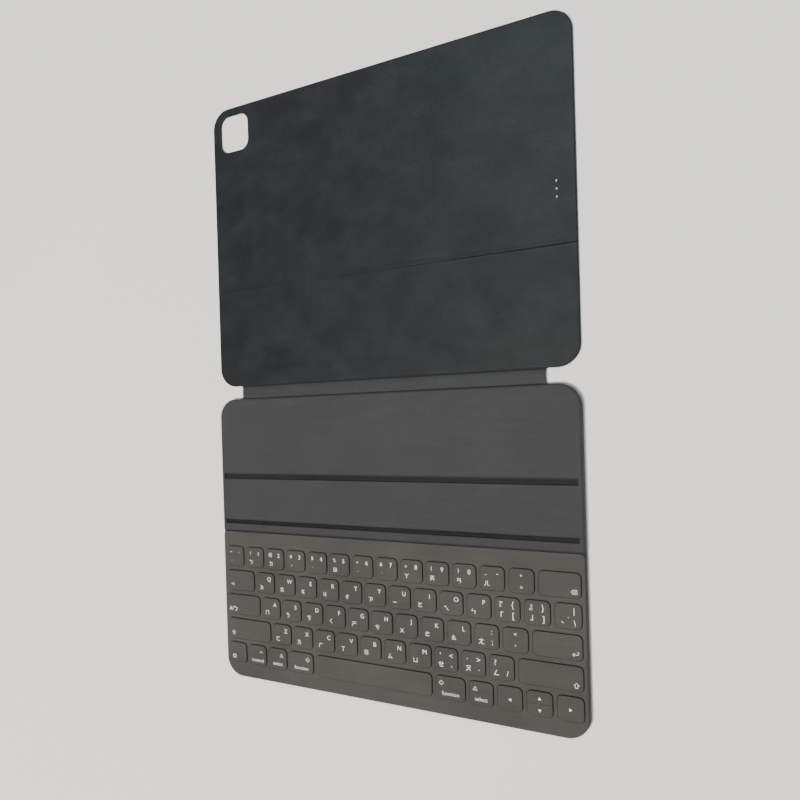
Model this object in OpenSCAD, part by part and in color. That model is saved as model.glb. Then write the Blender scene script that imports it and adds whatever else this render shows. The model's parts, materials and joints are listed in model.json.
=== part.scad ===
// Keyboard case for a 12.9 inch class tablet, laid open and flat.
// The keyboard leaf lies towards -Y and the cover leaf towards +Y, with the spine between them.
// The origin is on the table under the middle of the spine. All sizes are in millimetres.

/* [Case] */
// Width of both leaves
case_w = 282; // [282:1:300]
// Depth of each leaf, from the spine to its free edge
leaf_d = 218.7; // [218:0.1:230]
// Radius of the leaf corners seen from above
corner_r = 14.5; // [8:0.5:20]
// Thickness of the keyboard leaf
base_t = 4.6; // [4.4:0.1:6]
// Thickness of the cover leaf
cover_t = 1.9; // [1.8:0.1:2.6]

/* [Spine] */
// Distance between the two fold lines of the spine
fold_pitch = 8.8; // [8.8:0.1:12]
// Height of both fold lines above the table
fold_z = 1.85; // [1.6:0.05:2.2]
// Distance from a fold line to the leaf beside it
leaf_setback = 0.6; // [0.6:0.1:1]
// Distance from a fold line to the spine strip
spine_setback = 0.3; // [0.2:0.1:0.5]
// Width of the spine strip
spine_w = 238; // [200:1:250]
// Thickness of the spine strip
spine_t = 0.8; // [0.6:0.1:0.8]

/* [Cover] */
// Distance from the cover's spine edge to the crease
crease_from_edge = 75.4; // [60:0.2:90]
// Width of the gap at the crease
crease_gap = 0.8; // [0.7:0.1:1.5]
// Width and depth of the camera window
window_size = [28.6, 29.8]; // [20:0.2:34]
// Distance from the window to the cover's side and free edges
window_margin = [6.3, 5]; // [4:0.1:10]
// Corner radius of the camera window
window_r = 7.5; // [4:0.5:10]
// Diameter of a contact pin
pin_d = 1.4; // [1:0.1:2]
// Distance between contact pins
pin_pitch = 5; // [3:0.5:6]
// Distance from the cover's side to the contact pins
pin_from_side = 12; // [10:0.5:16]
// Distance from the cover's spine edge to the middle pin
pin_from_edge = 109.5; // [100:0.5:140]

/* [Stand deck] */
// Distance from the keyboard leaf's spine edge to the middle of each groove
groove_at = [60.9, 96.8]; // [50:0.1:105]
// Width of each groove at its floor
groove_w = [3.6, 2.8]; // [2:0.1:4]
// Height of the groove floors above the table
groove_floor_z = 3.2; // [3:0.1:3.6]
// How much wider each groove is at its mouth, on its spine side
groove_bevel = [1.4, 0.5]; // [0.4:0.1:2]
// Depth of the stand deck, from the spine edge to the keyboard
deck_d = 103.6; // [100:0.1:110]
// Depth of the sloping front face of the ridge
ridge_slope = 2.6; // [1:0.1:4]
// Width of the hem that closes the groove ends
hem_w = 3; // [2:0.1:5]

/* [Keys] */
// Distance between key centres, across and along
key_pitch = [19.2, 19.05]; // [18.5:0.05:19.2]
// Gap between key caps, across and along
key_gap = [3, 3.65]; // [2.4:0.05:4]
// Corner radius of a key cap
key_r = 3; // [1.5:0.1:4]
// Corner radius where the two half-height keys face each other
half_key_r = 1; // [0.5:0.1:2]
// Height of the key tops above the table
key_top_z = 4.65; // [4.4:0.05:4.8]
// How far a key travels
key_travel = 0.9; // [0.5:0.1:0.9]
// Gap between a key cap and the sheet around it
key_clear = 0.3; // [0.25:0.05:0.5]
// Gap between the two half-height keys
half_key_gap = 0.6; // [0.5:0.1:1.5]
// Distance from the keyboard leaf's free edge to the lowest key caps
key_front = 11; // [8:0.1:14]

/* [Hidden] */
$fn = 48;
LETTERS = "abcdefghijklmnopqrstuvwxyz";

// Leaves: each starts leaf_edge away from the middle of the spine.
leaf_edge = fold_pitch / 2 + leaf_setback;
leaf_far = leaf_edge + leaf_d;
half_w = case_w / 2;

// Heights in the keyboard leaf, from the table up.
skin_t = 0.6;
wall_t = 0.8;
fit_gap = 0.2;
stiffener_top = 1.1;
circuit_top = 1.4;
grid_top = 3.5;
key_deck_top = 4.1;
tray_top = 3;
board_top = 4;
cover_board_z = [0.6, 1.3];
dome_h = key_travel;
key_bottom_z = circuit_top + dome_h + 0.1;

// Places along the keyboard leaf, as Y values.
deck_front_y = -leaf_edge - deck_d;
key_sheet_gap = 0.6;
groove_y = [for (g = groove_at) -leaf_edge - g];
fabric_t = 0.6;

// Places on the cover leaf.
crease_y = leaf_edge + crease_from_edge;
window_x = -half_w + window_margin.x + window_size.x / 2;
window_y = leaf_far - window_margin.y - window_size.y / 2;
pin_x = half_w - pin_from_side;
pin_y = leaf_edge + pin_from_edge;
contact_size = [5, 17];

// Flat ribbon from the contact pins to the keyboard.
ribbon_w = 6;
ribbon_t = 0.1;
ribbon_x = 110;
ribbon_turn_y = pin_y - 20;

// Magnets that hold the tablet on the cover, and that catch its edge in the grooves.
magnet_size = [8, 3];
groove_magnet_w = 2.2;
groove_magnet_count = 13;
groove_magnet_pitch = 20;

// Key rows from the back to the front: each key is [node, width in key units, form].
function repeat(name, count) = [for (i = [1:count]) [name, 1, "full"]];
function letters(word) = [for (c = word) [str("key_", c), 1, "full"]];
ROWS = [
    concat(repeat("number_keys", 13), [["key_delete", 1.5, "full"]]),
    concat([["key_tab", 1.5, "full"]], letters("qwertyuiop"), repeat("punctuation_keys", 3)),
    concat(
        [["key_caps_lock", 1.75, "full"]], letters("asdfghjkl"),
        repeat("punctuation_keys", 2), [["key_return", 1.75, "full"]]
    ),
    concat(
        [["modifier_keys", 2.25, "full"]], letters("zxcvbnm"),
        repeat("punctuation_keys", 3), [["modifier_keys", 2.25, "full"]]
    ),
    concat(
        repeat("modifier_keys", 3), [["modifier_keys", 1.25, "full"], ["key_space", 5, "full"]],
        [["modifier_keys", 1.25, "full"]], repeat("modifier_keys", 1),
        [["arrow_keys", 1, "full"], ["arrow_keys", 1, "pair"], ["arrow_keys", 1, "full"]]
    )
];
row_units = 14.5;
cap_d = key_pitch.y - key_gap.y;
half_cap_d = (cap_d - half_key_gap) / 2;

function units_before(row, i) = i == 0 ? 0 : units_before(row, i - 1) + row[i - 1][1];
function key_x(row, i) = (units_before(row, i) + row[i][1] / 2 - row_units / 2) * key_pitch.x;
function cap_w(units) = units * key_pitch.x - key_gap.x;
function row_y(r) = -leaf_far + key_front + cap_d / 2 + (len(ROWS) - 1 - r) * key_pitch.y;

// A rectangle with round corners, made of squares and circles so that its corners stay true arcs.
module rounded_rect(size, r) {
    square([size.x - 2 * r, size.y], center = true);
    square([size.x, size.y - 2 * r], center = true);
    for (sx = [-1, 1], sy = [-1, 1])
        translate([sx * (size.x / 2 - r), sy * (size.y / 2 - r)])
            circle(r);
}

// The outline of a leaf, side -1 for the keyboard and 1 for the cover, drawn in from its edges.
module leaf_outline(side, inset = 0) {
    translate([0, side * (leaf_edge + leaf_d / 2)])
        rounded_rect([case_w - 2 * inset, leaf_d - 2 * inset], corner_r - inset);
}

// A strip across the whole case between two Y values.
module strip(y0, y1, w = case_w + 2) {
    translate([-w / 2, min(y0, y1)])
        square([w, abs(y1 - y0)]);
}

// The part of the cover leaf on one side of the crease.
module flap_outline(inset = 0) {
    intersection() {
        leaf_outline(1, inset);
        strip(0, crease_y - crease_gap / 2);
    }
}

module panel_outline(inset = 0) {
    difference() {
        leaf_outline(1, inset);
        strip(0, crease_y + crease_gap / 2);
        translate([window_x, window_y])
            rounded_rect(window_size + 2 * [inset, inset], window_r + inset);
    }
}

// The part of the keyboard leaf that holds the keys.
module key_area(inset) {
    intersection() {
        leaf_outline(-1, inset);
        strip(-leaf_far, deck_front_y - key_sheet_gap);
    }
}

// The cap outlines of one node's keys, or of all keys, grown on every side.
module cap_outlines(name, grow = 0) {
    for (r = [0:len(ROWS) - 1], i = [0:len(ROWS[r]) - 1]) {
        key = ROWS[r][i];
        if (name == "all" || name == key[0])
            translate([key_x(ROWS[r], i), row_y(r)])
                one_cap(cap_w(key[1]), key[2], grow);
    }
}

module one_cap(w, form, grow) {
    if (form == "pair" && grow == 0)
        for (s = [-1, 1])
            intersection() {
                rounded_rect([w, cap_d], key_r);
                translate([0, s * (half_cap_d + half_key_gap) / 2])
                    rounded_rect([w, half_cap_d], half_key_r);
            }
    else
        rounded_rect([w + 2 * grow, cap_d + 2 * grow], key_r + grow);
}

module slab(z0, z1) {
    translate([0, 0, z0])
        linear_extrude(z1 - z0)
            children();
}

module keys(name) {
    color("#3f3e3b")
        slab(key_bottom_z, key_top_z)
            cap_outlines(name);
}

// Keyboard leaf.
module base_outer_skin() {
    color("#343434")
        difference() {
            slab(0, tray_top)
                leaf_outline(-1);
            slab(skin_t, tray_top + 1)
                leaf_outline(-1, wall_t);
        }
}

module base_stiffener() {
    color("#8d8d86")
        slab(skin_t, stiffener_top)
            leaf_outline(-1, wall_t + fit_gap);
}

module key_circuit() {
    color("#6b7f5a")
        slab(stiffener_top, circuit_top) {
            key_area(wall_t + fit_gap);
            translate([ribbon_x - ribbon_w / 2, deck_front_y - key_sheet_gap - 1])
                square([ribbon_w, deck_d - 28]);
        }
}

module dome(r) {
    cylinder(h = dome_h, r1 = r, r2 = r * 0.45);
}

module key_domes() {
    color("#b9bcc0")
        for (r = [0:len(ROWS) - 1], i = [0:len(ROWS[r]) - 1])
            translate([key_x(ROWS[r], i), row_y(r), circuit_top])
                if (ROWS[r][i][2] == "pair")
                    for (s = [-1, 1])
                        translate([0, s * (half_cap_d + half_key_gap) / 2])
                            dome(half_cap_d / 2 - 0.4);
                else
                    dome(5);
}

module key_grid() {
    color("#55554f")
        slab(circuit_top, grid_top)
            difference() {
                key_area(wall_t + fit_gap);
                cap_outlines("all", key_clear);
            }
}

module keyboard_fabric() {
    color("#46443f")
        difference() {
            slab(tray_top, key_deck_top)
                key_area(0);
            slab(tray_top - 1, grid_top)
                key_area(wall_t + fit_gap);
            slab(tray_top - 1, key_deck_top + 1)
                cap_outlines("all", key_clear);
        }
}

// A hard board under the stand deck, between two Y values.
module deck_board(y0, y1) {
    slab(circuit_top, board_top)
        intersection() {
            leaf_outline(-1, hem_w);
            strip(y0, y1);
        }
}

// Y values of the two top edges of groove g: the spine side is bevelled.
function groove_back(g) = groove_y[g] + groove_w[g] / 2 + groove_bevel[g];
function groove_front(g) = groove_y[g] - groove_w[g] / 2;

module rear_deck_board() {
    color("#777770")
        difference() {
            deck_board(-leaf_edge - 1, groove_back(0) + fabric_t);
            translate([ribbon_x, -leaf_edge - 17, circuit_top])
                cube([37, 25, 2.6], center = true);
        }
}

module front_deck_boards() {
    color("#777770") {
        deck_board(groove_front(0) - fabric_t, groove_back(1) + fabric_t);
        deck_board(groove_front(1) - fabric_t, deck_front_y + ridge_slope / 2);
    }
}

// The deck seen from the side, from the spine edge to the keyboard.
module deck_profile() {
    polygon([
        [-leaf_edge, tray_top], [-leaf_edge, base_t], [deck_front_y + ridge_slope, base_t],
        [deck_front_y, key_deck_top], [deck_front_y, tray_top]
    ]);
}

// Groove g seen from the side, with the bevel on its spine side.
module groove_profile(g) {
    polygon([
        [groove_back(g), base_t + 1], [groove_back(g), base_t],
        [groove_back(g) - groove_bevel[g], groove_floor_z], [groove_front(g), groove_floor_z],
        [groove_front(g), base_t + 1]
    ]);
}

// Runs a side view along X, centred.
module across(w) {
    rotate([90, 0, 90])
        translate([0, 0, -w / 2])
            linear_extrude(w)
                children();
}

module deck_fabric() {
    color("#4d4d4d")
        difference() {
            intersection() {
                across(case_w)
                    deck_profile();
                slab(0, base_t + 1)
                    leaf_outline(-1);
            }
            for (g = [0, 1])
                across(case_w - 2 * hem_w)
                    groove_profile(g);
            deck_board(-leaf_edge - 1, groove_back(0) + fabric_t);
            deck_board(groove_front(0) - fabric_t, groove_back(1) + fabric_t);
            deck_board(groove_front(1) - fabric_t, deck_front_y + ridge_slope / 2);
        }
}

module groove_magnets() {
    color("#a9abad")
        for (g = [0, 1], i = [0:groove_magnet_count - 1])
            translate([
                (i - (groove_magnet_count - 1) / 2) * groove_magnet_pitch - 5,
                groove_y[g] - groove_magnet_w / 2, circuit_top
            ])
                cube([10, groove_magnet_w, 1.5]);
}

module controller_board() {
    color("#2f6b46")
        translate([ribbon_x - 17, -leaf_edge - 28, circuit_top])
            cube([34, 22, 0.6]);
    color("#222222")
        translate([ribbon_x - 12, -leaf_edge - 22, circuit_top + 0.6])
            for (i = [0, 1])
                translate([i * 14, 0, 0])
                    cube([9, 9, 0.5]);
}

// Spine.
module spine_slab(z0, z1) {
    y1 = fold_pitch / 2 - spine_setback;
    slab(z0, z1)
        translate([-spine_w / 2, -y1])
            square([spine_w, 2 * y1]);
}

module spine_outer_skin() {
    color("#343434")
        spine_slab(fold_z - spine_t / 2, fold_z);
}

module spine_ribbon() {
    color("#9a8a5a")
        slab(fold_z, fold_z + ribbon_t)
            translate([ribbon_x - ribbon_w / 2, spine_setback - fold_pitch / 2])
                square([ribbon_w, fold_pitch - 2 * spine_setback]);
}

module spine_lining() {
    color("#44474a")
        difference() {
            spine_slab(fold_z, fold_z + spine_t / 2);
            slab(fold_z - 1, fold_z + ribbon_t)
                translate([ribbon_x - ribbon_w / 2, -fold_pitch])
                    square([ribbon_w, 2 * fold_pitch]);
        }
}

// Cover leaf, between the spine and the crease.
module flap_outer_skin() {
    color("#343434")
        difference() {
            slab(0, cover_board_z[1])
                flap_outline();
            slab(cover_board_z[0], cover_t)
                flap_outline(wall_t);
        }
}

module flap_board() {
    color("#8d8d86")
        difference() {
            slab(cover_board_z[0], cover_board_z[1])
                flap_outline(wall_t + fit_gap);
            slab(cover_board_z[1] - ribbon_t, cover_t)
                ribbon_path_flap();
        }
}

module ribbon_path_flap() {
    translate([ribbon_x - ribbon_w / 2, 0])
        square([ribbon_w, crease_y - crease_gap / 2]);
}

module flap_ribbon() {
    color("#9a8a5a")
        slab(cover_board_z[1] - ribbon_t, cover_board_z[1])
            intersection() {
                ribbon_path_flap();
                flap_outline(wall_t + fit_gap);
            }
}

module flap_lining() {
    color("#30363a")
        slab(cover_board_z[1], cover_t)
            flap_outline();
}

// Cover leaf, beyond the crease.
module panel_outer_skin() {
    color("#343434")
        difference() {
            slab(0, cover_board_z[1])
                panel_outline();
            slab(cover_board_z[0], cover_t)
                panel_outline(wall_t);
        }
}

module ribbon_path_panel() {
    translate([ribbon_x - ribbon_w / 2, 0])
        square([ribbon_w, ribbon_turn_y]);
    translate([ribbon_x - ribbon_w / 2, ribbon_turn_y - ribbon_w])
        square([pin_x - ribbon_x + ribbon_w, ribbon_w]);
    translate([pin_x - ribbon_w / 2, ribbon_turn_y - ribbon_w])
        square([ribbon_w, pin_y - contact_size.y / 2 - ribbon_turn_y + ribbon_w]);
}

module at_magnets() {
    for (x = [-118, 116], i = [0:4])
        translate([x, crease_y + 20 + i * 18])
            square([magnet_size.y, magnet_size.x], center = true);
    for (i = [0:9])
        translate([-84 + i * 20, leaf_far - 16])
            square(magnet_size, center = true);
}

module panel_board() {
    color("#8d8d86")
        difference() {
            slab(cover_board_z[0], cover_board_z[1])
                panel_outline(wall_t + fit_gap);
            slab(cover_board_z[0] - 1, cover_t)
                at_magnets();
            slab(cover_board_z[1] - ribbon_t, cover_t)
                ribbon_path_panel();
            slab(cover_board_z[0] - 1, cover_t)
                translate([pin_x, pin_y])
                    rounded_rect(contact_size, 1);
        }
}

module panel_magnets() {
    color("#a9abad")
        slab(cover_board_z[0], cover_board_z[1])
            at_magnets();
}

module panel_ribbon() {
    color("#9a8a5a")
        slab(cover_board_z[1] - ribbon_t, cover_board_z[1])
            intersection() {
                ribbon_path_panel();
                panel_outline(wall_t + fit_gap);
            }
}

module pin_circles(d) {
    for (i = [-1, 0, 1])
        translate([pin_x, pin_y + i * pin_pitch])
            circle(d = d);
}

module contact_housing() {
    color("#222222")
        difference() {
            slab(cover_board_z[0], cover_board_z[1])
                translate([pin_x, pin_y])
                    rounded_rect(contact_size, 1);
            slab(cover_board_z[0] + 0.2, cover_t)
                pin_circles(pin_d);
        }
}

module contact_pins() {
    color("#d8d8d2")
        slab(cover_board_z[0] + 0.2, cover_t - 0.05)
            pin_circles(pin_d);
}

module panel_lining() {
    color("#30363a")
        slab(cover_board_z[1], cover_t)
            difference() {
                panel_outline();
                pin_circles(pin_d + 0.2);
            }
}

base_outer_skin();
base_stiffener();
key_circuit();
key_domes();
key_grid();
keyboard_fabric();
rear_deck_board();
front_deck_boards();
deck_fabric();
groove_magnets();
controller_board();
spine_outer_skin();
spine_ribbon();
spine_lining();
flap_outer_skin();
flap_board();
flap_ribbon();
flap_lining();
panel_outer_skin();
panel_board();
panel_magnets();
panel_ribbon();
contact_housing();
contact_pins();
panel_lining();
for (name = ["key_space", "key_return", "key_delete", "key_tab", "key_caps_lock"])
    keys(name);
for (name = ["number_keys", "punctuation_keys", "modifier_keys", "arrow_keys"])
    keys(name);
for (letter = LETTERS)
    keys(str("key_", letter));
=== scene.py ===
"""The looks of a tablet keyboard case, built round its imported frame. Everything is in metres."""

import json
from math import cos, exp, pi, sin

import bmesh
import bpy
import numpy as np
from mathutils import Matrix, Vector, geometry, noise


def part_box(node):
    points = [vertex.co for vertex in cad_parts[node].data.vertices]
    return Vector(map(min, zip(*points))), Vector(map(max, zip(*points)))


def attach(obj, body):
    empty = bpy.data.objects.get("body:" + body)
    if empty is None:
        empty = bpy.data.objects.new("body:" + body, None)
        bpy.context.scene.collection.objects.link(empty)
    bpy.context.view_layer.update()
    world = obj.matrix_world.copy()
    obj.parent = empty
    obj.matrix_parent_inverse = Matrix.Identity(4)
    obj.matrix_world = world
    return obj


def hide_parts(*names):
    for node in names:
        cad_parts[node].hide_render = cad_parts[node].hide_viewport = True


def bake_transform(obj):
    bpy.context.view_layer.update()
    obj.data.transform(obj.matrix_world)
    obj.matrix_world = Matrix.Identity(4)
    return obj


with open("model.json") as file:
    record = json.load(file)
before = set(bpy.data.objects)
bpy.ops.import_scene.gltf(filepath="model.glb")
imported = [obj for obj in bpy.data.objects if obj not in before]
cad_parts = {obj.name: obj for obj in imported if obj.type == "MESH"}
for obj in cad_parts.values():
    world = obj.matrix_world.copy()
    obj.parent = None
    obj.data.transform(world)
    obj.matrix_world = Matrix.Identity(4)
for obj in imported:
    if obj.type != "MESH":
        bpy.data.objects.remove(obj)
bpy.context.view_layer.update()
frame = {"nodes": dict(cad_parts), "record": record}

MM = 0.001


# ---------------------------------------------------------------- camera, floor and light


def aim(obj, place, target, up):
    """Puts obj at place, looking at target, with up pointing up in its view."""
    back = (Vector(place) - Vector(target)).normalized()
    right = Vector(up).cross(back).normalized()
    axes = Matrix((right, back.cross(right), back)).transposed()
    obj.matrix_world = Matrix.Translation(place) @ axes.to_4x4()


def make_camera():
    """Looks down on the open case from above its right side."""
    camera = bpy.data.objects.new("camera", bpy.data.cameras.new("camera"))
    camera.data.lens = 28.83
    camera.data.shift_y = 0.0275
    bpy.context.collection.objects.link(camera)
    aim(camera, (0.2132, -0.0233, 0.3994), (0.018, -0.0263, 0.003), (0.0325, 1, 0))
    bpy.context.scene.camera = camera


def make_light(name, place, size, power, colour, glossy=True):
    """A round soft light, size across, aimed at the middle of the case."""
    light = bpy.data.lights.new(name, "AREA")
    light.shape = "DISK"
    light.size = size
    light.energy = power
    light.color = colour
    obj = bpy.data.objects.new(name, light)
    obj.visible_glossy = glossy
    bpy.context.collection.objects.link(obj)
    aim(obj, place, (0, 0, 0), (0, 1, 0.1))


def make_stage():
    """A pale floor, a faint sky all round, and three soft lights."""
    bm = bmesh.new()
    bmesh.ops.create_grid(bm, x_segments=1, y_segments=1, size=4)
    floor = make_piece("floor", bm, plain_material("floor_paint", (0.78, 0.76, 0.72), 0.7))
    world = bpy.data.worlds.new("world")
    world.use_nodes = True
    background = world.node_tree.nodes["Background"].inputs
    background["Color"].default_value = (0.9, 0.95, 1, 1)
    background["Strength"].default_value = 0.1
    bpy.context.scene.world = world
    make_light("window", (-1.4, -1.35, 3.4), 1.0, 250, (1, 0.98, 0.95), glossy=False)
    make_light("ceiling", (-0.2, -0.4, 2), 0.8, 16, (1, 0.97, 0.93))
    make_light("sky", (0.15, 1.2, 1.7), 0.8, 14, (0.8, 0.91, 1))


# ---------------------------------------------------------------- materials


class Shader:
    """A node material under construction, with short calls for the nodes that recur."""

    def __init__(self, name, roughness, metallic=0.0, sheen=0.0, specular=0.5):
        self.material = bpy.data.materials.new(name)
        self.material.use_nodes = True
        self.tree = self.material.node_tree
        self.surface = self.tree.nodes["Principled BSDF"]
        self.surface.inputs["Roughness"].default_value = roughness
        self.surface.inputs["Metallic"].default_value = metallic
        self.surface.inputs["Sheen Weight"].default_value = sheen
        self.surface.inputs["Sheen Roughness"].default_value = 0.45
        self.surface.inputs["Specular IOR Level"].default_value = specular
        self.place = self.tree.nodes.new("ShaderNodeTexCoord").outputs["Object"]

    def node(self, kind, inputs=(), **settings):
        node = self.tree.nodes.new(kind)
        for key, value in settings.items():
            setattr(node, key, value)
        for key, value in dict(inputs).items():
            if isinstance(value, bpy.types.NodeSocket):
                self.tree.links.new(value, node.inputs[key])
            else:
                node.inputs[key].default_value = value
        return node

    def math(self, operation, a, b=0.0):
        return self.node("ShaderNodeMath", {0: a, 1: b}, operation=operation).outputs[0]

    def noise(self, size, detail=3.0, stretch=(1, 1, 1)):
        """Noise whose blotches are about size across."""
        scaled = self.node("ShaderNodeMapping", {"Vector": self.place, "Scale": stretch})
        inputs = {"Vector": scaled.outputs[0], "Scale": 1 / size, "Detail": detail}
        return self.node("ShaderNodeTexNoise", inputs).outputs["Fac"]

    def threads(self, pitch):
        """A close weave: two crossing sets of threads, pitch apart."""
        split = self.node("ShaderNodeSeparateXYZ", {0: self.place})
        waves = []
        for axis in (0, 1):
            turned = self.math("MULTIPLY", split.outputs[axis], 2 * pi / pitch)
            waves.append(self.math("SINE", turned))
        return self.math("ADD", self.math("MULTIPLY", waves[0], waves[1]), 1.0)

    def ramp(self, factor, low, high, dark, light):
        """Colour from dark to light as factor goes from low to high."""
        node = self.node("ShaderNodeValToRGB", {"Fac": factor})
        for element, position, colour in zip(
            node.color_ramp.elements, (low, high), (dark, light)
        ):
            element.position = position
            element.color = (*colour, 1)
        return node.outputs["Color"]

    def scale(self, colour, factor, low, high, least, most):
        """Colour times a number that goes from least to most as factor goes from low to high."""
        limits = {"From Min": low, "From Max": high, "To Min": least, "To Max": most}
        share = self.node("ShaderNodeMapRange", {"Value": factor, **limits}).outputs[0]
        inputs = {0: colour, 1: share}
        return self.node("ShaderNodeVectorMath", inputs, operation="MULTIPLY").outputs[0]

    def shade(self, colour, factor, amount):
        """Colour, darker or lighter by up to amount as factor runs from 0.25 to 0.75."""
        return self.scale(colour, factor, 0.25, 0.75, 1 - amount, 1 + amount)

    def by_height(self, colour, low, high, least, most=1.0):
        """Colour times a number that goes from least to most between the heights low and high."""
        height = self.node("ShaderNodeSeparateXYZ", {0: self.place}).outputs[2]
        return self.scale(colour, height, low, high, least, most)

    def bump(self, height, depth, below=None):
        inputs = {"Height": height, "Distance": depth, "Strength": 1.0}
        if below is not None:
            inputs["Normal"] = below
        return self.node("ShaderNodeBump", inputs).outputs["Normal"]

    def finish(self, colour, normal=None, roughness=None):
        self.tree.links.new(colour, self.surface.inputs["Base Color"])
        if normal is not None:
            self.tree.links.new(normal, self.surface.inputs["Normal"])
        if roughness is not None:
            self.tree.links.new(roughness, self.surface.inputs["Roughness"])
        return self.material


def plain_material(name, colour, roughness):
    """A matte paint whose tint varies a little."""
    s = Shader(name, roughness)
    tint = s.ramp(s.noise(0.4), 0.3, 0.7, [c * 0.97 for c in colour], colour)
    return s.finish(tint)


THREAD_PITCH = 0.32 * MM


def woven_material(name, dark, light, pitch=THREAD_PITCH, recess_shade=None):
    """Close-woven cloth with a fine weave, slubs along its threads, and faint handling marks.

    Where it lies lower, from recess[1] down to recess[0], painted shade darkens it to recess[2].
    """
    s = Shader(name, 0.45, sheen=0.04, specular=0.4)
    colour = s.ramp(s.noise(60 * MM, 2.0), 0.35, 0.65, dark, light)
    colour = s.shade(colour, s.noise(3 * MM, 3.0, (0.12, 1, 1)), 0.07)
    colour = s.shade(colour, s.noise(3 * MM, 3.0, (1, 0.25, 1)), 0.03)
    colour = s.shade(colour, s.noise(0.5 * MM, 2.0), 0.08)
    # painted shade: the cloth is darker where it lies lower
    if recess_shade:
        colour = s.by_height(colour, *recess_shade)
    normal = s.bump(s.threads(pitch), 0.03 * MM)
    normal = s.bump(s.noise(1.2 * MM, 3.0), 0.05 * MM, normal)
    return s.finish(colour, normal)


def suede_material(name, dark, light):
    """Microfibre suede: a short nap that lies this way and that, in cloudy patches and rubbed streaks;
    painted shade darkens it where it dips, and a painted highlight lightens it where it stands proud.
    """
    s = Shader(name, 0.5, sheen=0.05, specular=0.35)
    cloud = s.noise(26 * MM, 5.0, (0.8, 1, 1))
    colour = s.ramp(cloud, 0.34, 0.66, dark, light)
    colour = s.shade(colour, s.noise(9 * MM, 4.0, (0.7, 1, 1)), 0.13)
    # painted shade: darker in the crease, the pressed streaks, and where the lining rolls down at its
    # edges, the window and the contacts
    colour = s.by_height(colour, 1.4 * MM, 1.84 * MM, 0.3)
    colour = s.by_height(colour, 1.95 * MM, 2.06 * MM, 1.0, 1.6)  # painted highlight where it stands proud
    colour = s.shade(colour, s.noise(1.1 * MM, 3.0), 0.14)
    colour = s.shade(colour, s.noise(0.35 * MM, 2.0), 0.12)
    normal = s.bump(s.noise(0.4 * MM, 2.0), 0.08 * MM)
    normal = s.bump(s.noise(2.5 * MM, 3.0), 0.12 * MM, normal)
    return s.finish(colour, normal)


def skin_material(name, dark, light):
    """Soft-touch sheet: matte, with a fine pebbled grain and rubbed patches."""
    s = Shader(name, 0.6, specular=0.4)
    colour = s.ramp(s.noise(50 * MM, 3.0), 0.3, 0.7, dark, light)
    colour = s.shade(colour, s.noise(4 * MM, 2.0), 0.05)
    cells = s.node(
        "ShaderNodeTexVoronoi", {"Vector": s.place, "Scale": 1 / (0.55 * MM)}, feature="SMOOTH_F1"
    )
    normal = s.bump(cells.outputs["Distance"], 0.04 * MM)
    rough = s.node(
        "ShaderNodeMapRange", {"Value": s.noise(30 * MM), "To Min": 0.5, "To Max": 0.68}
    )
    return s.finish(colour, normal, rough.outputs[0])


def metal_material(name, colour, roughness):
    """Brushed metal, a little cloudy."""
    s = Shader(name, roughness, metallic=1.0)
    tint = s.ramp(s.noise(0.8 * MM), 0.3, 0.7, [c * 0.9 for c in colour], colour)
    return s.finish(tint, s.bump(s.noise(0.15 * MM, 2.0, (1, 6, 1)), 0.004 * MM))


def moulded_material(name, colour):
    """Moulded plastic or board, finely textured."""
    s = Shader(name, 0.55)
    tint = s.ramp(s.noise(2 * MM), 0.3, 0.7, [c * 0.85 for c in colour], colour)
    return s.finish(tint, s.bump(s.noise(0.4 * MM, 3.0), 0.02 * MM))


def print_material(name):
    """White ink on cloth, a little uneven where it sinks between the threads."""
    s = Shader(name, 0.7, specular=0.2)
    colour = s.ramp(s.noise(0.4 * MM, 2.0), 0.3, 0.6, (0.78, 0.78, 0.76), (0.9, 0.9, 0.88))
    return s.finish(colour, s.bump(s.threads(THREAD_PITCH), 0.02 * MM))


# ---------------------------------------------------------------- mesh building


def make_piece(name, bm, material, crease=35):
    """An object from bm, smooth where its faces meet at less than crease degrees."""
    bmesh.ops.remove_doubles(bm, verts=bm.verts, dist=1e-7)
    bmesh.ops.recalc_face_normals(bm, faces=bm.faces)
    mesh = bpy.data.meshes.new(name)
    bm.to_mesh(mesh)
    bm.free()
    mesh.materials.append(material)
    mesh.shade_smooth()
    mesh.set_sharp_from_angle(angle=crease * pi / 180)
    obj = bpy.data.objects.new(name, mesh)
    bpy.context.collection.objects.link(obj)
    return obj


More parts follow.
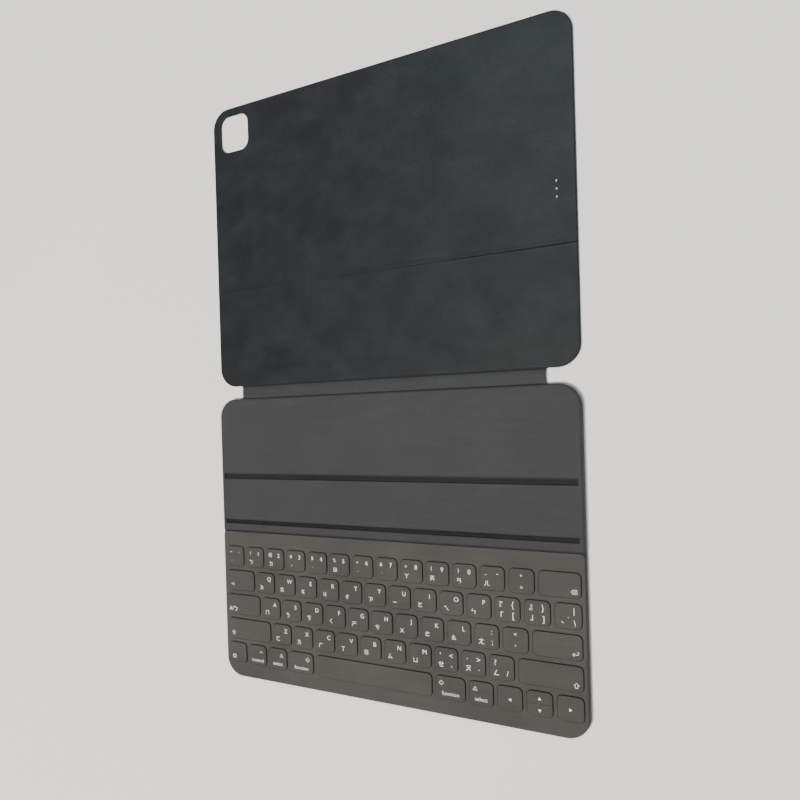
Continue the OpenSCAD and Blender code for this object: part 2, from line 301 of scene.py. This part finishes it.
class Outline:
    """A rectangle with a round at each corner: front left, front right, back right, back left."""

    def __init__(self, lo, hi, radii):
        self.lo = np.array(lo[:2], float)
        self.hi = np.array(hi[:2], float)
        self.radii = radii if hasattr(radii, "__len__") else (radii,) * 4

    def inset(self, left, front=None, right=None, back=None):
        """Drawn in on each side, or by one distance all round; a negative distance grows it."""
        front, right, back = (left if side is None else side for side in (front, right, back))
        cuts = (min(left, front), min(right, front), min(right, back), min(left, back))
        radii = [max(r - cut, 0.05 * MM) for r, cut in zip(self.radii, cuts)]
        return Outline(self.lo + (left, front), self.hi - (right, back), radii)

    def points(self, arc, along_x=0, side_ys=()):
        """The outline anticlockwise, with along_x points between the corners of the front and back."""
        (x0, y0), (x1, y1) = self.lo, self.hi
        r = self.radii
        corners = (
            (x0 + r[0], y0 + r[0], r[0], pi),
            (x1 - r[1], y0 + r[1], r[1], 1.5 * pi),
            (x1 - r[2], y1 - r[2], r[2], 0),
            (x0 + r[3], y1 - r[3], r[3], 0.5 * pi),
        )
        found = []
        for i, (cx, cy, radius, start) in enumerate(corners):
            for k in range(arc + 1):
                turn = start + k / arc * pi / 2
                found.append((cx + radius * cos(turn), cy + radius * sin(turn)))
            nx, ny = corners[(i + 1) % 4][:2]
            if i == 0 or i == 2:
                y = y0 if i == 0 else y1
                for k in range(1, along_x + 1):
                    found.append((cx + (nx - cx) * k / (along_x + 1), y))
            else:
                ys = side_ys if i == 1 else side_ys[::-1]
                found += [(x1 if i == 1 else x0, y) for y in ys]
        return found

    def depth(self, points):
        """How far inside the outline each point lies, negative outside."""
        p = np.asarray(points, float).reshape(-1, 2)
        middle, half = (self.lo + self.hi) / 2, (self.hi - self.lo) / 2
        q = p - middle
        r = np.where(
            q[:, 1] < 0,
            np.where(q[:, 0] < 0, self.radii[0], self.radii[1]),
            np.where(q[:, 0] < 0, self.radii[3], self.radii[2]),
        )
        d = np.abs(q) - half + r[:, None]
        outside = np.linalg.norm(np.maximum(d, 0), axis=1)
        return -(outside + np.minimum(d.max(axis=1), 0) - r)


class Sheet:
    """A surface of ring stacks and filled regions, built into one bmesh."""

    def __init__(self, arc, along_x=0, side_ys=()):
        self.bm = bmesh.new()
        self.detail = (arc, along_x, side_ys)

    def ring(self, outline, z):
        return [self.bm.verts.new((x, y, z)) for x, y in outline.points(*self.detail)]

    def stack(self, outline, steps):
        """Rings down a profile of (inset, z) steps, in millimetres.

        Returns the last ring and its outline, and keeps the first ones in self.first.
        """
        last = None
        for inset, z in steps:
            sides = inset if hasattr(inset, "__len__") else (inset,)
            drawn = outline.inset(*(s * MM for s in sides))
            loop = self.ring(drawn, z * MM)
            if last is None:
                self.first = (loop, drawn)
            else:
                for i in range(len(loop)):
                    j = (i + 1) % len(loop)
                    self.bm.faces.new((last[i], last[j], loop[j], loop[i]))
            last = loop
        return last, drawn

    def fill(self, outer, holes=(), spacing=None, rows=()):
        """Triangles between an outer ring and hole rings, with points spacing apart and on rows."""
        loops = [outer, *holes]
        z = outer[0][0].co.z
        verts = [v for loop, _ in loops for v in loop]
        edges = []
        start = 0
        for loop, _ in loops:
            n = len(loop)
            edges += [(start + i, start + (i + 1) % n) for i in range(n)]
            start += n
        if spacing:
            (x0, y0), (x1, y1) = outer[1].lo, outer[1].hi
            xs = np.linspace(x0, x1, max(2, round((x1 - x0) / spacing)))[1:-1]
            ys = np.linspace(y0, y1, max(2, round((y1 - y0) / spacing)))[1:-1]
            near = min(spacing / 2, 2 * MM)
            clear = 0.4 * near  # the least room between a point and a ring
            ys = [y for y in ys if all(abs(y - row) > near for row in rows)]
            grid = np.array([(x, y) for y in sorted([*ys, *rows]) for x in xs])
            keep = outer[1].depth(grid) > clear
            for _, hole in holes:
                keep &= hole.depth(grid) < -clear
            verts += [self.bm.verts.new((x, y, z)) for x, y in grid[keep]]
        flat = [Vector(v.co[:2]) for v in verts]
        points, _, faces, origins, _, _ = geometry.delaunay_2d_cdt(flat, edges, [], 0, 1e-9)
        place = {i: out for out, group in enumerate(origins) for i in group}
        walls = {frozenset((place[a], place[b])) for a, b in edges}
        sides = {}
        for n, face in enumerate(faces):
            for pair in zip(face, face[1:] + face[:1]):
                sides.setdefault(frozenset(pair), []).append(n)
        centres = np.array([sum((points[i] for i in f), Vector((0, 0))) / 3 for f in faces])
        room = outer[1].depth(centres)
        for _, hole in holes:
            room = np.minimum(room, -hole.depth(centres))
        waiting = [int(room.argmax())]  # spread from the roomiest triangle, never across a ring
        kept = set(waiting)
        while waiting:
            face = faces[waiting.pop()]
            for pair in zip(face, face[1:] + face[:1]):
                if frozenset(pair) not in walls:
                    fresh = set(sides[frozenset(pair)]) - kept
                    kept |= fresh
                    waiting += fresh
        for n in sorted(kept):
            self.bm.faces.new([verts[origins[i][0]] for i in faces[n]])

    def sway(self, height):
        """Lifts every vertex by height(x, y), which is small."""
        for v in self.bm.verts:
            v.co.z += height(v.co.x, v.co.y)


def evaluated_mesh(obj):
    """A new mesh of obj, with its modifier or its text made real."""
    bpy.context.view_layer.update()
    found = obj.evaluated_get(bpy.context.evaluated_depsgraph_get())
    return bpy.data.meshes.new_from_object(found)


def thicken(obj, thickness):
    """Gives a sheet a real thickness, inwards, and applies it."""
    solid = obj.modifiers.new("solid", "SOLIDIFY")
    solid.thickness = thickness
    solid.offset = -1
    mesh = evaluated_mesh(obj)
    obj.modifiers.clear()
    obj.data = mesh
    return obj


def ripple(x, y, size, depth, seed=0.0):
    """Smooth unevenness of cloth, about size across and depth deep."""
    return depth * noise.noise(Vector((x / size, y / size, seed)))


# ---------------------------------------------------------------- sizes from the frame

CORNER_R = 14.5 * MM
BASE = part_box("base_outer_skin")
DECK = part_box("deck_fabric")
KEY_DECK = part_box("keyboard_fabric")
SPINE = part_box("spine_lining")
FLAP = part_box("flap_lining")
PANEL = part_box("panel_lining")
CREASE_Y = (FLAP[1][1] + PANEL[0][1]) / 2
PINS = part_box("contact_pins")


def span(lo, hi, count):
    """Count places spread evenly between lo and hi."""
    return [lo + (hi - lo) * (i + 1) / (count + 1) for i in range(count)]


# ---------------------------------------------------------------- keyboard leaf


def make_base_shell(material):
    """The outer skin: a shallow tray whose bottom edge is rolled."""
    outline = Outline(*BASE, CORNER_R)
    ys = span(outline.lo[1] + CORNER_R, outline.hi[1] - CORNER_R, 24)
    sheet = Sheet(12, 30, ys)
    steps = [  # inset, height
        (1.8, 0), (0.95, 0.08), (0.4, 0.35), (0.1, 0.8), (0, 1.4), (0, 2.65), (0.1, 2.9),
        (0.3, 3.0), (0.75, 3.0), (0.85, 2.9), (0.85, 0.6),
    ]
    last = sheet.stack(outline, steps)
    sheet.fill(sheet.first, spacing=9 * MM)
    sheet.fill(last)
    return make_piece("base_shell", sheet.bm, material)


DECK_R = 0.8 * MM  # the small rounds of the grooves and the seam
GROOVES = (
    # distances from the leaf's spine edge to the back and front lips, in millimetres, and the back
    # wall as (distance from the back lip, height)
    (
        57.4,
        62.6,
        ((-0.6, 4.49), (0, 4.46), (0.5, 4.25), (1.1, 3.85), (1.7, 3.5), (2.1, 3.3), (2.5, 3.2)),
    ),
    (
        92.6,
        97.9,
        ((-0.6, 4.49), (0, 4.47), (0.9, 4.36), (1.8, 4.13), (2.2, 3.8), (2.5, 3.3), (2.8, 3.12)),
    ),
)
# the insets of a groove's ends and front wall, at the heights of its back wall
GROOVE_ENDS = (-0.3, -0.1, 0.05, 0.2, 0.35, 0.55, 0.8)
GROOVE_FRONTS = (-0.45, -0.2, 0, 0.12, 0.22, 0.35, 0.7)


def make_stand_deck(material):
    """Stand deck cloth: rolled rim, two pressed grooves, and the ridge that slopes to the keyboard."""
    outline = Outline(*DECK, (0.6 * MM, 0.6 * MM, CORNER_R, CORNER_R))
    back = outline.hi[1]
    hem = 3 * MM
    ys = span(outline.lo[1] + 6 * MM, outline.hi[1] - CORNER_R, 20)
    sheet = Sheet(12, 40, ys)
    profile = [  # sides and back, front, height
        (0.1, 0.1, 2.85), (0.03, 0.12, 3.2), (0.13, 0.16, 3.5), (0.33, 0.28, 3.8),
        (0.6, 0.5, 4.03), (0.9, 1.0, 4.24), (1.2, 1.8, 4.42), (1.5, 2.5, 4.54),
        (1.8, 3.0, 4.6), (2.05, 3.4, 4.58), (2.25, 3.8, 4.52), (2.4, 4.2, 4.49),
    ]
    rim = sheet.stack(outline, [((side, front, side, side), z) for side, front, z in profile])
    sheet.detail = (4, 60, ())
    holes = []
    for back_lip, front_lip, back_wall in GROOVES:
        lo = (outline.lo[0] + hem, back - front_lip * MM)
        hi = (outline.hi[0] - hem, back - back_lip * MM)
        walls = zip(GROOVE_ENDS, GROOVE_FRONTS, back_wall)
        steps = [((end, front, end, rear), z) for end, front, (rear, z) in walls]
        floor = sheet.stack(Outline(lo, hi, DECK_R), steps)
        holes.append(sheet.first)
        sheet.fill(floor)
    sheet.fill(rim, holes, spacing=6 * MM)
    sheet.sway(lambda x, y: ripple(x, y, 55 * MM, 0.07 * MM, 1.5))
    return thicken(make_piece("stand_deck", sheet.bm, material), 0.3 * MM)


def make_seam(material):
    """The bottom of the seam between the stand deck and the keyboard cloth; its dark skin is partly the
    skin there and partly painted shade in the gap.
    """
    middle = (DECK[0][1] + KEY_DECK[1][1]) / 2
    end_gap = 0.4 * MM
    lo = (DECK[0][0] + end_gap, middle - 3 * MM)
    hi = (DECK[1][0] - end_gap, middle + 1 * MM)
    sheet = Sheet(4, 40)
    top = sheet.stack(Outline(lo, hi, DECK_R), [(0, 3.1), (0, 3.2), (0.1, 3.28), (0.4, 3.3)])
    sheet.fill(top)
    sheet.fill(sheet.first)
    return make_piece("deck_seam", sheet.bm, material)


def make_keyboard_deck(material, caps):
    """Keyboard cloth, with a lipped opening round each cap."""
    outline = Outline(*KEY_DECK, (CORNER_R, CORNER_R, 3 * MM, 3 * MM))
    ys = span(outline.lo[1] + CORNER_R, outline.hi[1] - 4 * MM, 16)
    sheet = Sheet(12, 40, ys)
    profile = [  # left and front, right, back, height
        (0.1, 0.1, 0, 2.85), (0.03, 0.03, 0, 3.2), (0.06, 0.15, 0.02, 3.5),
        (0.16, 0.4, 0.1, 3.78), (0.36, 0.75, 0.24, 3.97), (0.7, 1.15, 0.5, 4.07),
        (1.2, 1.65, 1.0, 4.1),
    ]
    rim = sheet.stack(outline, [((side, side, right, rear), z) for side, right, rear, z in profile])
    sheet.detail = (6, 0, ())
    lip = [  # beyond the cap at its left and front, at its right and back, height
        (0.12, 0.14, 3.3), (0.13, 0.22, 3.55), (0.16, 0.36, 3.75),
        (0.24, 0.54, 3.92), (0.42, 0.78, 4.04), (0.7, 1.05, 4.1),
    ]
    steps = [((-near, -near, -far, -far), z) for near, far, z in lip]
    holes = [sheet.stack(cap, steps) for cap in caps]
    sheet.fill(rim, holes, spacing=5 * MM)
    sheet.sway(lambda x, y: ripple(x, y, 28 * MM, 0.05 * MM, 4.5))
    return thicken(make_piece("keyboard_deck", sheet.bm, material), 0.25 * MM)


CAP_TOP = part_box("key_q")[1][2]
CAP_STEPS = [  # inset, depth below the top
    (-0.1, 1.4), (-0.1, 0.75), (-0.07, 0.45), (0.02, 0.25),
    (0.17, 0.11), (0.42, 0.05), (1.0, 0.02), (2.2, 0),
]
FACING = 0.12  # how much of its shoulder a half-height cap has where it faces the other


def make_cap(name, cap, material):
    """A key cap under its cloth: soft shoulders and a nearly flat top.

    The two half-height caps have almost no shoulder where they face each other.
    """
    sheet = Sheet(6)
    front = FACING if name == "cap_arrow_up" else 1
    back = FACING if name == "cap_arrow_down" else 1
    steps = []
    for inset, depth in CAP_STEPS:
        sides = inset
        if front * back < 1:
            sides = (inset, max(inset, 0) * front, inset, max(inset, 0) * back)
        steps.append((sides, CAP_TOP / MM - depth))
    top = sheet.stack(cap, steps)
    sheet.fill(top)
    sheet.fill(sheet.first)
    return make_piece(name, sheet.bm, material, crease=60)


# ---------------------------------------------------------------- keys and legends

# text sizes of the legends
LETTER = 4.4 * MM
MARK = 3.9 * MM
SIGN = 3.7 * MM
TALL = 5.2 * MM
WORD = 3.8 * MM
ARROW = 2.4 * MM
UNIT_CAP = 16.2 * MM  # the width of a one-unit cap
PLACES = {  # where a legend's middle goes, as shares of a one-unit cap from its middle
    "tl": (-0.25, 0.2), "tr": (0.22, 0.19), "bl": (-0.22, -0.2), "br": (0.24, -0.24),
    "t": (0.0, 0.22), "b": (0.0, -0.24), "c": (0.0, -0.03), "low": (0.0, -0.22),
}

# A key is its cap's name, its body, its width in units, and its legends as glyph, place and size.


def letters(word, marks):
    """Letter keys: each has its letter and its phonetic mark."""
    return [
        (f"cap_{c}", f"key_{c}_body", 1, [(c.upper(), "tr", LETTER), (m, "bl", MARK)])
        for c, m in zip(word, marks)
    ]


def number_keys():
    """The number row without its delete key."""
    found = []
    glyphs = zip("`1234567890-", "~!@#$%^&*()_", "·ㄅㄉˇˋㄓˊ˙ㄚㄞㄢㄦ")
    for i, (digit, sign, mark) in enumerate(glyphs):
        legends = [(digit, "tr", LETTER), (sign, "tl", SIGN), (mark, "bl", MARK)]
        found.append((f"cap_number_{i + 1}", "number_keys_body", 1, legends))
    found.append(("cap_number_13", "number_keys_body", 1, [("+", "t", SIGN), ("=", "b", SIGN)]))
    return found


def signs(*keys):
    """Punctuation keys: each is its number and its legends as glyph and place."""
    found = []
    for n, *legends in keys:
        sized = [(g, place, LETTER if g in "ㄤㄝㄡㄥ、·" else TALL) for g, place in legends]
        found.append((f"cap_sign_{n}", "punctuation_keys_body", 1, sized))
    return found


def wide(name, units, *legends):
    """A key other than a letter that has a slide of its own."""
    return (f"cap_{name}", f"key_{name}_body", units, list(legends))


def modifier(n, units, *legends):
    """One of the keys that share the modifier keys' slide."""
    return (f"cap_modifier_{n}", "modifier_keys_body", units, list(legends))


def arrow(name, glyph):
    """One of the keys that share the arrow keys' slide."""
    return (f"cap_arrow_{name}", "arrow_keys_body", 1, [(glyph, "c", ARROW)])


ROWS = [  # from the back; None is where the two half-height arrow keys are
    [*number_keys(), wide("delete", 1.5, ("⌫", "br", 3.8 * MM))],
    [
        wide("tab", 1.5, ("→|", "bl", 3.3 * MM)),
        *letters("qwertyuiop", "ㄆㄊㄍㄐㄔㄗㄧㄛㄟㄣ"),
        *signs(
            (1, ("『", "tl"), ("{", "tr"), ("「", "bl"), ("[", "br")),
            (2, ("』", "tl"), ("}", "tr"), ("」", "bl"), ("]", "br")),
            (3, ("|", "tr"), ("、", "bl"), ("·", "c"), ("\\", "br")),
        ),
    ],
    [
        wide("caps_lock", 1.75, ("A/ㄅ", "bl", 4.3 * MM)),
        *letters("asdfghjkl", "ㄇㄋㄎㄑㄕㄘㄨㄜㄠ"),
        *signs((4, (":", "tr"), ("ㄤ", "bl"), (";", "br")), (5, ('"', "t"), ("'", "b"))),
        wide("return", 1.75, ("↩", "br", 4.2 * MM)),
    ],
    [
        modifier(1, 2.25, ("⇧", "bl", 4.4 * MM)),
        *letters("zxcvbnm", "ㄈㄌㄏㄒㄖㄙㄩ"),
        *signs(
            (6, ("'", "tl"), ("<", "tr"), ("ㄝ", "bl"), (",", "br")),
            (7, ("·", "tl"), (">", "tr"), ("ㄡ", "bl"), (".", "br")),
            (8, ("?", "tl"), ("ㄥ", "bl"), ("/", "br")),
        ),
        modifier(2, 2.25, ("⇧", "br", 4.4 * MM)),
    ],
    [
        modifier(3, 1, ("◎", "bl", 4.4 * MM)),
        modifier(4, 1, ("⌃", "tr", 4.6 * MM), ("control", "low", WORD)),
        modifier(5, 1, ("△", "tr", SIGN), ("select", "low", WORD)),
        modifier(6, 1.25, ("◇", "tr", SIGN), ("function", "low", WORD)),
        wide("space", 5),
        modifier(7, 1.25, ("◇", "tl", SIGN), ("function", "low", WORD)),
        modifier(8, 1, ("△", "tl", SIGN), ("select", "low", WORD)),
        arrow("left", "◀"),
        None,
        arrow("right", "▶"),
    ],
]
CAP_R = 3 * MM
HALF_GAP = 0.08 * MM  # between the two half-height caps
HALF_R = 0.5 * MM  # their rounds where they face each other


def key_layout():
    """(name, body, outline, legends) of every cap, and the outlines of the openings round them."""
    q, w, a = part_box("key_q"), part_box("key_w"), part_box("key_a")
    pitch_x, pitch_y = w[0][0] - q[0][0], q[0][1] - a[0][1]
    cap_x, cap_y = q[1][0] - q[0][0], q[1][1] - q[0][1]
    top = q[0][1] + pitch_y
    keys, openings = [], []
    for r, row in enumerate(ROWS):
        units = sum(1 if key is None else key[2] for key in row)
        x = -units * pitch_x / 2
        y = top - r * pitch_y
        for key in row:
            width = 1 if key is None else key[2]
            lo = (x + (pitch_x - cap_x) / 2, y)
            hi = (x + width * pitch_x - (pitch_x - cap_x) / 2, y + cap_y)
            opening = Outline(lo, hi, CAP_R)
            openings.append(opening)
            if key is None:
                middle = y + cap_y / 2
                up_lo = (lo[0], middle + HALF_GAP / 2)
                down_hi = (hi[0], middle - HALF_GAP / 2)
                for name, glyph, half in (
                    ("up", "▲", Outline(up_lo, hi, (HALF_R, HALF_R, CAP_R, CAP_R))),
                    ("down", "▼", Outline(lo, down_hi, (CAP_R, CAP_R, HALF_R, HALF_R))),
                ):
                    cap, body, _, legends = arrow(name, glyph)
                    keys.append((cap, body, half, legends))
            else:
                keys.append((key[0], key[1], opening, key[3]))
            x += width * pitch_x
    return keys, openings


glyphs_made = {}


def glyph_mesh(text, size):
    """A flat solid of the text, centred on the origin."""
    if (text, size) not in glyphs_made:
        curve = bpy.data.curves.new("legend", "FONT")
        curve.body = text
        curve.size = size
        curve.resolution_u = 3
        if text[-1] < "\u3000" and text != "*":  # finer strokes than the phonetic marks have
            curve.offset = -0.035 * MM
        curve.extrude = 0.04 * MM
        obj = bpy.data.objects.new("legend", curve)
        bpy.context.collection.objects.link(obj)
        mesh = evaluated_mesh(obj)
        bpy.data.objects.remove(obj)
        co = np.array([v.co for v in mesh.vertices])
        middle = (co.min(axis=0) + co.max(axis=0)) / 2
        mesh.transform(Matrix.Translation(-Vector(middle)))
        glyphs_made[text, size] = mesh
    return glyphs_made[text, size]


MARK_LIFTS = {  # how far small marks stand above their place's middle, in millimetres
    ",": -0.5, ".": 0.2, "/": 0.8, "、": -0.6, "'": 0.5, '"': 0.3, "_": -0.9, "·": -0.3, "˙": 0.6,
}


def make_legends(name, outline, legends, material):
    """The printed legends of one cap: thin solids that stand just proud of its top."""
    bm = bmesh.new()
    middle = (outline.lo + outline.hi) / 2
    spare = (outline.hi[0] - outline.lo[0] - UNIT_CAP) / 2  # a wide key's legends keep to its ends
    for glyph, place, size in legends:
        across, up = PLACES[place]
        side = {"l": -1, "r": 1}.get(place[-1], 0)
        x = middle[0] + side * spare + across * UNIT_CAP
        y = middle[1] + up * UNIT_CAP + MARK_LIFTS.get(glyph, 0) * MM
        mesh = glyph_mesh(glyph, size).copy()
        mesh.transform(Matrix.Translation((x, y, CAP_TOP - 0.015 * MM)))
        bm.from_mesh(mesh)
        bpy.data.meshes.remove(mesh)
    return make_piece(name, bm, material)


# ---------------------------------------------------------------- spine


FOLD_THICK = 0.35  # the least thickness of the half next to the cover, in millimetres


def make_fold(name, side, material):
    """Half of the spine with the fold that joins it to one leaf: side -1 is the keyboard leaf's."""
    stations = [  # distance from the middle, extra half width, bottom, top
        (0, 0, 1.42, 2.2), (1, 0, 1.43, 2.21), (2, 0, 1.44, 2.23), (3, 0, 1.45, 2.25),
        (3.6, 0.05, 1.45, 2.25), (3.9, 0.12, 1.44, 2.25), (4.1, 0.25, 1.42, 2.25),
        (4.3, 0.45, 1.38, 2.24), (4.5, 0.7, 1.32, 2.23), (4.7, 1.1, 1.25, 2.22),
        (4.9, 1.7, 1.15, 2.2), (5.1, 2.4, 1.1, 2.2), (5.4, 2.5, 1.1, 2.2),
    ]
    if side > 0:  # it dips into a valley before it meets the lower cover
        tops = (2.2, 2.17, 2.13, 2.07, 2.01, 1.98, 1.97, 1.8, 1.6, 1.5, 1.46, 1.45, 1.45)
        stations = [
            (d, extra, min(low, top - FOLD_THICK), top)
            for (d, extra, low, _), top in zip(stations, tops)
        ]
    bm = bmesh.new()
    half = SPINE[1][0]
    count = 80
    loops = []
    for d, extra, low, high in stations:
        y = side * d * MM
        xs = np.linspace(-half - extra * MM, half + extra * MM, count)
        top = [bm.verts.new((x, y, high * MM + ripple(x, y, 20 * MM, 0.05 * MM))) for x in xs]
        bottom = [bm.verts.new((x, y, low * MM)) for x in xs[::-1]]
        loops.append(top + bottom)
    for a, b in zip(loops, loops[1:]):
        for i in range(len(a)):
            j = (i + 1) % len(a)
            bm.faces.new((a[i], a[j], b[j], b[i]))
    for loop in (loops[0], loops[-1]):
        for i in range(count - 1):
            bm.faces.new((loop[i], loop[i + 1], loop[-2 - i], loop[-1 - i]))
    return make_piece(name, bm, material)


# ---------------------------------------------------------------- cover leaf


def cover_outline():
    return Outline(FLAP[0], PANEL[1], CORNER_R)


def window_outline():
    """The edge of the camera window, with the lining and skin turned in over the boards.

    Its straight sides stay clear of the opening's box, and its rounds cross that box's corners.
    """
    lo, hi = np.array(frame["record"]["physics"]["openings"][0]["box_m"])[:, :2]
    return Outline(lo - (0.2 * MM, 0.35 * MM), hi + 0.05 * MM, 7.5 * MM)


STREAKS = [FLAP[0][1] + d * MM for d in (12.2, 13.6, 15.4)]  # pressed lines near the spine
PIN_R = (PINS[1][0] - PINS[0][0]) / 2


def pin_centres():
    x = (PINS[0][0] + PINS[1][0]) / 2
    return [(x, y) for y in np.linspace(PINS[0][1] + PIN_R, PINS[1][1] - PIN_R, 3)]


CREASE_STEPS = (0.25, 0.5, 0.8, 1.2, 1.6, 2.1, 2.7, 3.4, 4.2, 5, 6, 7)
CREASE_ROWS = [CREASE_Y + d * MM for d in (*(-s for s in CREASE_STEPS[::-1]), 0, *CREASE_STEPS)]


def cover_side_ys(outline):
    """Places up the cover's sides: the crease's rows, and evenly spread ones clear of them."""
    ys = span(outline.lo[1] + CORNER_R, outline.hi[1] - CORNER_R, 24)
    return sorted([y for y in ys if abs(y - CREASE_Y) > 9 * MM] + CREASE_ROWS)


def window_detail(window):
    """How finely the window's rings are drawn: their rounds, and their points along x and y."""
    return (8, 4, span(window.lo[1] + 8 * MM, window.hi[1] - 8 * MM, 3))


def make_cover_skin(material):
    """The cover's outer skin: bottom, rolled sides and the wall of the camera window."""
    outline, window = cover_outline(), window_outline()
    sheet = Sheet(12, 30, cover_side_ys(outline))
    profile = [  # inset, height
        (1.1, 0), (0.5, 0.07), (0.15, 0.28), (0, 0.6), (0, 1.25),
        (0.08, 1.45), (0.28, 1.54), (0.5, 1.5), (0.7, 0.5),
    ]
    last = sheet.stack(outline, profile)
    outer = sheet.first
    sheet.detail = window_detail(window)
    last_hole = sheet.stack(window, [(-inset, z) for inset, z in profile])
    hole = sheet.first
    sheet.fill(outer, [hole], 9 * MM, CREASE_ROWS)
    sheet.fill(last, [last_hole], 9 * MM, CREASE_ROWS)
    return make_piece("cover_skin", sheet.bm, material)


def make_cover_lining(material):
    """Suede lining: one sheet over the whole cover, pressed in at the crease."""
    outline, window = cover_outline(), window_outline()
    sheet = Sheet(12, 40, cover_side_ys(outline))
    profile = [(0.45, 1.2), (0.3, 1.5), (0.36, 1.68), (0.6, 1.8), (1.0, 1.87), (1.8, 1.9)]
    rim = sheet.stack(outline, profile)
    sheet.detail = window_detail(window)
    holes = [sheet.stack(window, [(-inset, z) for inset, z in profile])]
    sheet.detail = (5, 0, ())
    for x, y in pin_centres():
        bore = Outline((x - PIN_R, y - PIN_R), (x + PIN_R, y + PIN_R), 0.999 * PIN_R)
        holes.append(sheet.stack(bore, [(-0.1, 1.7), (-0.12, 1.84), (-0.2, 1.88), (-0.32, 1.9)]))
    sheet.fill(rim, holes, 4.5 * MM, [*CREASE_ROWS, *STREAKS])

    def height(x, y):
        """The crease, deepest at the right, the ridge before it, its wrinkles, and the streaks."""
        d = (y - CREASE_Y) / MM
        deep = 0.09 + 0.06 * noise.noise(Vector((x / 0.03, 2.5, 0))) + 1.9 * max(0, x + 40 * MM)
        pressed = -deep * exp(-((d / 0.42) ** 2)) + 0.4 * deep * exp(-(((d + 1.05) / 0.45) ** 2))
        pressed -= 0.12 * exp(-(((d - 2) / 2.2) ** 2))
        wrinkles = 0.13 * exp(-((d / 4) ** 2)) * noise.noise(Vector((x / 0.03, d / 0.8, 4.5)))
        fade = max(0, 1 - (abs(x + 55 * MM) / (75 * MM)) ** 4)
        streak = sum(exp(-(((y - at) / (0.35 * MM)) ** 2)) for at in STREAKS)
        return (pressed + wrinkles - 0.12 * fade * streak) * MM + ripple(x, y, 45 * MM, 0.1 * MM, 7.5)

    sheet.sway(height)
    return make_piece("cover_lining", sheet.bm, material)


def make_pins(material):
    """Three round-headed contacts that stand just proud of their CAD solids."""
    bm = bmesh.new()
    sides = 24
    top = PINS[1][2] + 0.08 * MM
    profile = [  # share of the radius, height
        (1, PINS[0][2]),
        (1, top - 0.25 * MM),
        (0.9, top - 0.1 * MM),
        (0.65, top - 0.02 * MM),
        (0.3, top),
    ]
    for x, y in pin_centres():
        last = None
        for share, z in profile:
            loop = [
                bm.verts.new((x + share * PIN_R * cos(a), y + share * PIN_R * sin(a), z))
                for a in np.linspace(0, 2 * pi, sides + 1)[:-1]
            ]
            if last is None:
                bm.faces.new(loop)
            else:
                for i in range(sides):
                    j = (i + 1) % sides
                    bm.faces.new((last[i], last[j], loop[j], loop[i]))
            last = loop
        bm.faces.new(last)
    return make_piece("contact_heads", bm, material)


# ---------------------------------------------------------------- everything together

make_camera()
make_stage()

skin = skin_material("outer_skin_look", (0.0135, 0.014, 0.0145), (0.019, 0.0195, 0.02))
suede = suede_material("lining_look", (0.0107, 0.0125, 0.0128), (0.0163, 0.0182, 0.0186))
deck_cloth = woven_material(
    "deck_cloth_look",
    (0.034, 0.0342, 0.0345),
    (0.0375, 0.0378, 0.038),
    # painted shade in the grooves and down the rolled rim; on the groove floors it is partly painted
    # shade and partly their darker cloth
    recess_shade=(3.1 * MM, 4.12 * MM, 0.2),
)
key_cloth = woven_material(
    "key_cloth_look",
    (0.047, 0.0455, 0.041),
    (0.0575, 0.055, 0.0495),
    # painted shade in the hollows round each cap, on the caps' lower sides and down the rolled rim
    recess_shade=(3.6 * MM, 4.02 * MM, 0.2),
)
spine_cloth = woven_material(
    "spine_cloth_look",
    (0.0312, 0.033, 0.0308),
    (0.0348, 0.0367, 0.0343),
    # painted shade in the valley where the spine dips to meet the cover
    recess_shade=(1.55 * MM, 2.2 * MM, 0.3),
)
ink = print_material("legend_look")
contact_metal = metal_material("contact_look", (0.95, 0.93, 0.88), 0.38)

piece = make_base_shell(skin)
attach(piece, "keyboard_leaf")
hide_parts("base_outer_skin")

piece = make_stand_deck(deck_cloth)
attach(piece, "keyboard_leaf")
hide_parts("deck_fabric")

# the dark skin at the seam's bottom is partly painted shade in the gap
piece = make_seam(skin)
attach(piece, "keyboard_leaf")

keys, openings = key_layout()
piece = make_keyboard_deck(key_cloth, openings)
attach(piece, "keyboard_leaf")
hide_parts("keyboard_fabric")

for name, body, outline, legends in keys:
    cap = make_cap(name, outline, key_cloth)
    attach(cap, body)
    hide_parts(*frame["record"]["behaviour"]["bodies"][body])
    if legends:
        legend = make_legends(name.replace("cap_", "legend_"), outline, legends, ink)
        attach(legend, body)

piece = make_fold("spine_fold_keyboard", -1, spine_cloth)
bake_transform(piece)
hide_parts("spine_lining", "spine_outer_skin")

piece = make_fold("spine_fold_cover", 1, spine_cloth)
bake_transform(piece)
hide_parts("spine_lining", "spine_outer_skin")

piece = make_cover_skin(skin)
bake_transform(piece)
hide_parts("flap_outer_skin", "panel_outer_skin")

piece = thicken(make_cover_lining(suede), 0.3 * MM)
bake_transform(piece)
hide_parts("flap_lining", "panel_lining")

piece = make_pins(contact_metal)
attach(piece, "cover_panel")
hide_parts("contact_pins")

SLOT_LOOKS = {
    "stiffener": moulded_material("stiffener_look", (0.25, 0.25, 0.23)),
    "board": moulded_material("board_look", (0.1, 0.1, 0.095)),
    "circuit": moulded_material("circuit_look", (0.03, 0.1, 0.05)),
    "black_plastic": moulded_material("black_plastic_look", (0.02, 0.02, 0.02)),
    "dome_steel": metal_material("dome_look", (0.6, 0.6, 0.6), 0.3),
    "magnet": metal_material("magnet_look", (0.6, 0.6, 0.62), 0.25),
    "ribbon": woven_material("ribbon_look", (0.2, 0.16, 0.08), (0.26, 0.21, 0.1), 0.2 * MM),
    "contact_metal": contact_metal,
    "outer_skin": skin,
    "lining": suede,
    "deck_fabric": deck_cloth,
    "key_fabric": key_cloth,
}
for row in frame["record"]["subparts"]:
    look = SLOT_LOOKS[row["material_slot"]]
    for material_slot in frame["nodes"][row["node"]].material_slots:
        material_slot.material = look

bpy.context.view_layer.update()
